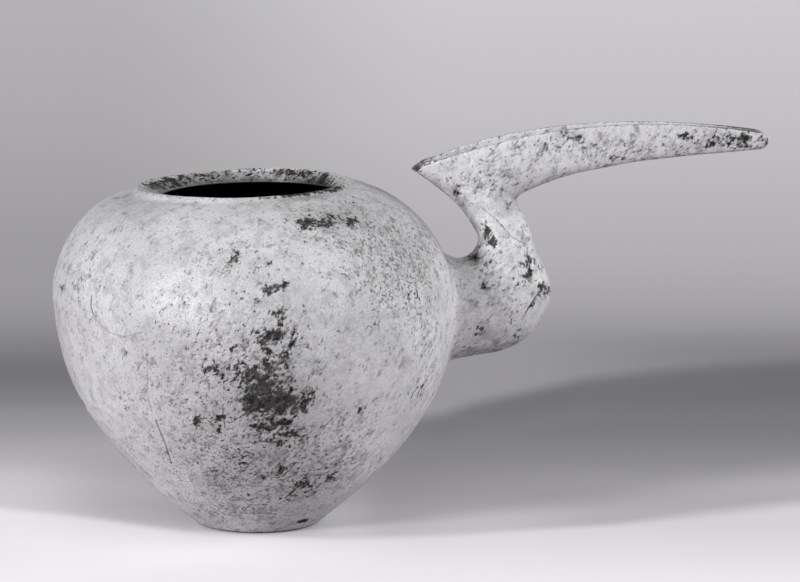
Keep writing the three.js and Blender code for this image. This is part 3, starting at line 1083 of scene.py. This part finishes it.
finish = {
    # sRGB colours: inside is painted shade, and the dirt, edge and scratch colours paint shade as well as
    # dirt, rubbed edges and scratches
    "skin": "#e2e1e6",
    "skinCloud": "#d2d1d5",
    "skinMottle": "#b4b3b5",
    "skinThin": "#8f8d8e",
    "grainDark": "#a3a1a2",
    "grainLight": "#f2f2f5",
    "crust": "#f6f5f8",
    "rubbed": "#84827f",
    "specks": "#63615e",
    "dirtAndShade": "#42403d",
    "patch": "#454341",
    "patchDeep": "#191817",
    "patchGrain": "#77756f",
    "edges": "#454340",
    "scratchAndShade": "#4b4946",
    "inside": "#161413",
    # how many millimetres across the lumps of each pattern are
    "cloudSize": 40.0,
    "mottleSize": 6.5,
    "grainSize": 0.9,
    "poreSize": 1.3,
    "blotSize": 3.0,
    "flakeSize": 7.5,
    "wearSize": 5.5,
    "slant": 35.0,  # degrees that the specks lean by
    "stretch": 1.45,  # and how much longer they are that way
    "bumpDepth": 0.8,  # millimetres
}


def claySlip():
    # pale low-fired clay under a thin lime skin, burnished by hand and buried for long. The skin is matt and
    # mottled in light greys, and it is worn through to darker clay in fine specks and ragged patches, which
    # are duller than the skin round them.
    material, tree = newMaterial("worn_pale_clay")
    colour = {name: linear(value) for name, value in finish.items() if isinstance(value, str)}
    place = addNode(tree, "TexCoord").outputs["Object"]
    lean = {"Rotation": (0, math.radians(finish["slant"]), 0), "Scale": (1.0, 1.0, finish["stretch"])}
    slant = addNode(tree, "Mapping", {"Vector": place, **lean}, vector_type="TEXTURE").outputs["Vector"]
    cloud = noise(tree, place, finish["cloudSize"], 4, 0.55)
    mottle = noise(tree, place, finish["mottleSize"], 4, 0.62)
    grain = noise(tree, place, finish["grainSize"], 3, 0.6)
    pores = noise(tree, slant, finish["poreSize"], 3, 0.6, 0.4)
    blots = noise(tree, slant, finish["blotSize"], 4, 0.65, 0.5)
    flakes = noise(tree, slant, finish["flakeSize"], 6, 0.66)
    wear = noise(tree, slant, finish["wearSize"], 6, 0.7)
    stainAndShade, wearAndShade = attribute(tree, "stainAndShade"), attribute(tree, "wearAndShade")
    edge, deepShade = attribute(tree, "edge"), attribute(tree, "deepShade")

    # the skin: pale, greyer in clouds, and thin enough to show the clay where it is worn; painted shade
    # darkens it the same way
    base = blended(tree, between(tree, cloud, 0.35, 0.65), colour["skin"], colour["skinCloud"])
    base = blended(tree, between(tree, mottle, 0.45, 0.64, 0, 0.6), base, colour["skinMottle"])
    base = blended(tree, between(tree, wearAndShade, 0.2, 1.0, 0, 0.36), base, colour["skinThin"])
    grey = worked(tree, "MULTIPLY_ADD", wearAndShade, 0.15, 0.27)
    grey = worked(tree, "MULTIPLY", between(tree, grain, 0.42, 0.64), grey)
    base = blended(tree, grey, base, colour["grainDark"])
    base = blended(tree, between(tree, grain, 0.46, 0.34, 0, 0.33), base, colour["grainLight"])

    # crust: the palest flecks, where the skin is whole
    flecks = between(tree, blots, 0.56, 0.42, 0.2, 0.9)
    flecks = worked(tree, "MULTIPLY", attribute(tree, "crust"), flecks)
    base = blended(tree, flecks, base, colour["crust"])

    # grey wear and painted shade: the skin rubbed thin, in ragged patches
    rubbed = worked(tree, "MULTIPLY_ADD", wearAndShade, 0.12, wear)
    rubbed = worked(tree, "MULTIPLY_ADD", pores, 0.45, rubbed)
    rubbed = between(tree, rubbed, 0.785, 0.92, 0, 0.65)
    base = blended(tree, rubbed, base, colour["rubbed"])

    # worn specks: more of them where the skin is worn and where shade is painted through the wear
    speckle = worked(tree, "MULTIPLY_ADD", wearAndShade, 0.15, pores)
    speckle = worked(tree, "MULTIPLY_ADD", blots, 0.45, speckle)
    specks = between(tree, speckle, 0.85, 1.01, 0, 0.88)
    base = blended(tree, specks, base, colour["specks"])

    # soft dirt round the patches, and painted shade along the neck's back, under the throat and the beak and
    # across the body between its lit sides; on the lip partly stain and partly painted shade
    dirtAndShade = between(tree, flakes, 0.3, 0.62, 0.55, 1.15)
    dirtAndShade = worked(tree, "MULTIPLY", attribute(tree, "smudgeAndShade"), dirtAndShade)
    base = blended(tree, dirtAndShade, base, colour["dirtAndShade"])

    # dark patches, and painted shade in the valley between the throat and the body: the mark's strength
    # broken up by three sizes of noise
    patch = worked(tree, "MULTIPLY_ADD", wearAndShade, 0.1, stainAndShade)
    patch = worked(tree, "MULTIPLY_ADD", flakes, 1.1, patch)
    patch = worked(tree, "MULTIPLY_ADD", blots, 1.9, patch)
    patch = worked(tree, "MULTIPLY_ADD", pores, 1.3, patch)
    dark = between(tree, patch, 2.57, 3.0, 0, 0.97)
    darkest = blended(tree, between(tree, blots, 0.44, 0.62), colour["patch"], colour["patchDeep"])
    darkest = blended(tree, between(tree, grain, 0.5, 0.7, 0, 0.3), darkest, colour["patchGrain"])
    base = blended(tree, dark, base, darkest)

    # rubbed edges, with painted shade at the foot's bottom and under the beak's tip; scratches, with painted
    # shade along the throat's fold; and painted shade inside the mouth and on the lip's bevel
    rims = worked(tree, "MULTIPLY_ADD", pores, 0.9, edge)
    base = blended(tree, between(tree, rims, 0.85, 1.25, 0, 0.9), base, colour["edges"])
    line = worked(tree, "ABSOLUTE", attribute(tree, "scratchAndShade"))
    line = between(tree, line, 0.2, 1.0, 0.9, 0)
    line = worked(tree, "MULTIPLY", line, attribute(tree, "scratchAndShadeSpan"))
    base = blended(tree, line, base, colour["scratchAndShade"])
    base = blended(tree, deepShade, base, colour["inside"])

    # the skin is smoothest where it is clean, and the dark patches lie a little lower and hardly shine
    rough = worked(tree, "MULTIPLY_ADD", dark, 0.42, 0.24)
    rough = worked(tree, "MULTIPLY_ADD", wearAndShade, 0.2, rough)
    rough = worked(tree, "MULTIPLY_ADD", grain, 0.15, rough)
    gloss = between(tree, dark, 0.0, 1.0, 0.5, 0.12)
    height = worked(tree, "MULTIPLY_ADD", grain, 0.5, worked(tree, "MULTIPLY", mottle, 0.6))
    height = worked(tree, "MULTIPLY_ADD", dark, -0.45, height)
    height = worked(tree, "MULTIPLY_ADD", specks, -0.35, height)
    height = worked(tree, "MULTIPLY_ADD", line, -0.5, height)
    depth = {"Height": height, "Strength": 0.6, "Distance": finish["bumpDepth"] / 1000}
    bump = addNode(tree, "Bump", depth).outputs["Normal"]
    surface = addNode(
        tree,
        "BsdfPrincipled",
        {"Base Color": base, "Roughness": rough, "Normal": bump, "Specular IOR Level": gloss},
    )
    addNode(tree, "OutputMaterial", {"Surface": surface.outputs[0]})
    return material


clay.materials.clear()
clay.materials.append(claySlip())
clay.polygons.foreach_set("material_index", np.zeros(len(clay.polygons), np.int32))
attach(pitcher, "root")
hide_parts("pitcher")
print("clay finished")


# the studio: one sweep of paper, whose tone changes down the picture, with the studio's light and shade
# painted into it

stage = {
    # metres: the paper's edges, the radius of its sweep up behind, and how high it ends
    "left": -3.6,
    "right": 3.8,
    "front": -3.6,
    "back": 3.8,
    "curve": 0.5,
    "top": 1.6,
    # the near part, whose mesh is finest because its tones change fastest
    "fineAcross": (-0.6, 0.9),
    "fineAlong": (-0.25, 0.9),
    "fineColumns": 190,
    "fineRows": 220,
}
# down the picture, in its pixels: the paper's painted brightness, the studio's light and shade where no
# painted shadow falls
paperTones = [
    (0, "#b9b9ba"),
    (120, "#b1b1b2"),
    (240, "#a3a3a4"),
    (300, "#9f9f9f"),
    (340, "#929292"),
    (400, "#939393"),
    (430, "#a0a0a0"),
    (460, "#b9b9b9"),
    (480, "#d0d0d0"),
    (500, "#dfdfdf"),
    (512, "#e6e6e6"),
]
# the far edge of the shadow on the right, and the line where the lit floor begins, in the same pixels
shadowLine = [(330, 432), (440, 414), (476, 403), (548, 387), (584, 379), (656, 371), (728, 364), (800, 360)]
floorLine = [(0, 509), (60, 514), (100, 519), (180, 531), (260, 536), (340, 539), (450, 535), (620, 524)]
floorLine += [(800, 503)]
# where the tones turn: each pair is where a change begins and ends, across the picture or down it
tones = {
    "brightAcross": (80, 480),
    "brightUpperDown": (240, 320),
    "brightLowerDown": (380, 500),
    "floorBlurAcross": (580, 760),
    "leftStartAcross": (10, 120),
    "leftEndAcross": (300, 360),
    "leftDown": (440, 480),
    "rightLowAcross": (470, 620),
    "rightLowDown": (480, 506),
    "bandMiddle": 373,
    "bandHalf": 31,
    "bandAcross": (150, 420),
    "shadowBlur": 9,
    "shadowHeart": (12, 44),  # below the shadow's far edge
    "shadowAcross": (300, 400),
    "shadeBeyondAcross": (480, 740),
    "shadeBeyondDown": (316, 356),
    "litLeftAcross": (20, 120),
    "litLeftDown": (540, 575),
    "litRightFrom": 525,
    "litRightOver": 57,
    "litTurnAcross": (240, 440),
}


def paperTone(place):
    # painted light and shade: the ramp down the picture, lighter above on the right, darker in the two
    # painted soft shadows that lie behind the pitcher on the left and beside it on the right
    u, v = place.T

    def across(name):
        return smoothStep(u, *tones[name])

    def down(name):
        return smoothStep(v, *tones[name])

    stops, colours = zip(*paperTones)
    tone = np.interp(v, stops, [linear(colour)[0] for colour in colours])
    above = 1 - 0.5 * down("brightUpperDown") - 0.5 * down("brightLowerDown")
    tone *= 1 + 0.32 * across("brightAcross") * above

    # painted shade on the floor by the pitcher on the left and on the floor to the right, and a painted soft
    # shadow in a band behind the pitcher on the left
    left = across("leftStartAcross") * (1 - across("leftEndAcross"))
    tone *= 1 - 0.19 * left * down("leftDown")
    tone *= 1 - 0.17 * across("rightLowAcross") * down("rightLowDown")
    band = np.exp(-(((v - tones["bandMiddle"]) / tones["bandHalf"]) ** 2))
    tone *= 1 - 0.34 * band * (1 - across("bandAcross"))

    # the painted shadow on the right: darkest under its far edge, with paler painted shade beyond it
    top = np.interp(u, *np.array(shadowLine, float).T)
    within = smoothStep(v, top - tones["shadowBlur"], top + tones["shadowBlur"])
    dark = 0.28 + 0.16 * (1 - smoothStep(v - top, *tones["shadowHeart"]))
    shadeBeyond = 0.22 * across("shadeBeyondAcross") * down("shadeBeyondDown")
    tone *= 1 - (shadeBeyond + (dark - shadeBeyond) * within) * across("shadowAcross")

    # the lit floor in front
    line = np.interp(u, *np.array(floorLine, float).T)
    soft = 4 + 5 * across("floorBlurAcross")
    lit = smoothStep(v, line - soft, line + soft)
    litLeft = 1 - 0.03 * across("litLeftAcross") - 0.07 * down("litLeftDown")
    litRight = 0.7 + 0.19 * np.clip((v - tones["litRightFrom"]) / tones["litRightOver"], 0, 1)
    toRight = across("litTurnAcross")
    return tone * (1 - lit) + (litLeft * (1 - toRight) + litRight * toRight) * lit


def studioPaper():
    # matt paper, even and without gloss. Part of its tone glows in the picture, and it throws less light back
    # than it shows.
    material, tree = newMaterial("studio_paper")
    tone = addNode(tree, "Attribute", attribute_name="tone").outputs["Color"]
    seenDirectly = addNode(tree, "LightPath").outputs["Is Camera Ray"]
    paper = addNode(tree, "BsdfDiffuse", {"Color": tone}).outputs[0]
    glow = addNode(tree, "Emission", {"Color": tone, "Strength": 0.2}).outputs[0]
    shown = addNode(tree, "AddShader", {0: paper, 1: glow}).outputs[0]
    dim = blended(tree, 0.25, tone, (0, 0, 0, 1))
    dimPaper = addNode(tree, "BsdfDiffuse", {"Color": dim}).outputs[0]
    both = addNode(tree, "MixShader", {0: seenDirectly, 1: dimPaper, 2: shown}).outputs[0]
    addNode(tree, "OutputMaterial", {"Surface": both})
    return material


def steps(start, end, fine, fineCount, before, after):
    # from start to end, with most of the steps in the fine part
    first, last = fine
    return np.concatenate([
        np.linspace(start, first, before)[:-1],
        np.linspace(first, last, fineCount),
        np.linspace(last, end, after)[1:],
    ])


def buildPaper():
    # a grid that lies flat, turns up through a quarter of a circle and ends upright
    turn = np.linspace(0, math.pi / 2, 24)[1:]
    back, curve = stage["back"], stage["curve"]
    flat = steps(stage["front"], back, stage["fineAlong"], stage["fineRows"], 24, 24)
    depth = np.concatenate([flat, back + curve * np.sin(turn), [back + curve]])
    height = np.concatenate([np.zeros(len(flat)), curve * (1 - np.cos(turn)), [stage["top"]]])
    side = steps(stage["left"], stage["right"], stage["fineAcross"], stage["fineColumns"], 12, 14)
    rows, columns = len(depth), len(side)
    grid = np.stack([np.tile(side, rows), np.repeat(depth, columns), np.repeat(height, columns)], axis=1)
    r, k = np.meshgrid(np.arange(rows - 1), np.arange(columns - 1), indexing="ij")
    a = (r * columns + k).ravel()
    mesh = bpy.data.meshes.new("paper")
    faces = np.stack([a, a + 1, a + columns + 1, a + columns], axis=1)
    mesh.from_pydata(grid.tolist(), [], faces.tolist())
    tone = paperTone(seenAt(grid * 1000))
    color = np.stack([tone, tone * 0.98, tone * 1.02, np.ones(len(tone))], axis=1).astype(np.float32)
    mesh.attributes.new("tone", "FLOAT_COLOR", "POINT").data.foreach_set("color", color.ravel())
    mesh.materials.append(studioPaper())
    mesh.shade_smooth()
    thing = bpy.data.objects.new("paper", mesh)
    scene.collection.objects.link(thing)


buildPaper()

lights = [
    # name, where it comes from, strength, how wide it looks in degrees
    ("key", (-0.755, -0.572, 0.274), 2.3, 12),
    ("rightFill", (0.97, 0.03, 0.25), 1.9, 35),
    ("topFill", (-0.1, -0.45, 0.85), 0.6, 50),
]
for name, source, strength, width in lights:
    sun = bpy.data.lights.new(name, "SUN")
    sun.energy = strength
    sun.angle = math.radians(width)
    lamp = bpy.data.objects.new(name, sun)
    lamp.rotation_euler = Vector(source).to_track_quat("Z", "Y").to_euler()
    scene.collection.objects.link(lamp)

world = bpy.data.worlds.new("studio")
scene.world = world
world.use_nodes = True
world.node_tree.nodes["Background"].inputs["Color"].default_value = (1, 1, 1, 1)
world.node_tree.nodes["Background"].inputs["Strength"].default_value = 0.2
scene.view_settings.view_transform = "Standard"

right, up, forward, eye = viewAxes()
lens = bpy.data.cameras.new("camera")
lens.sensor_width = 36
lens.lens = view["distance"] * view["pixelsPerMm"] * lens.sensor_width / view["size"][0]
lens.clip_start = 0.1
camera = bpy.data.objects.new("camera", lens)
scene.collection.objects.link(camera)
turned = Matrix((right, up, -forward)).transposed().to_4x4()
camera.matrix_world = Matrix.Translation(Vector(eye * 0.001)) @ turned
scene.camera = camera
print("studio ready")
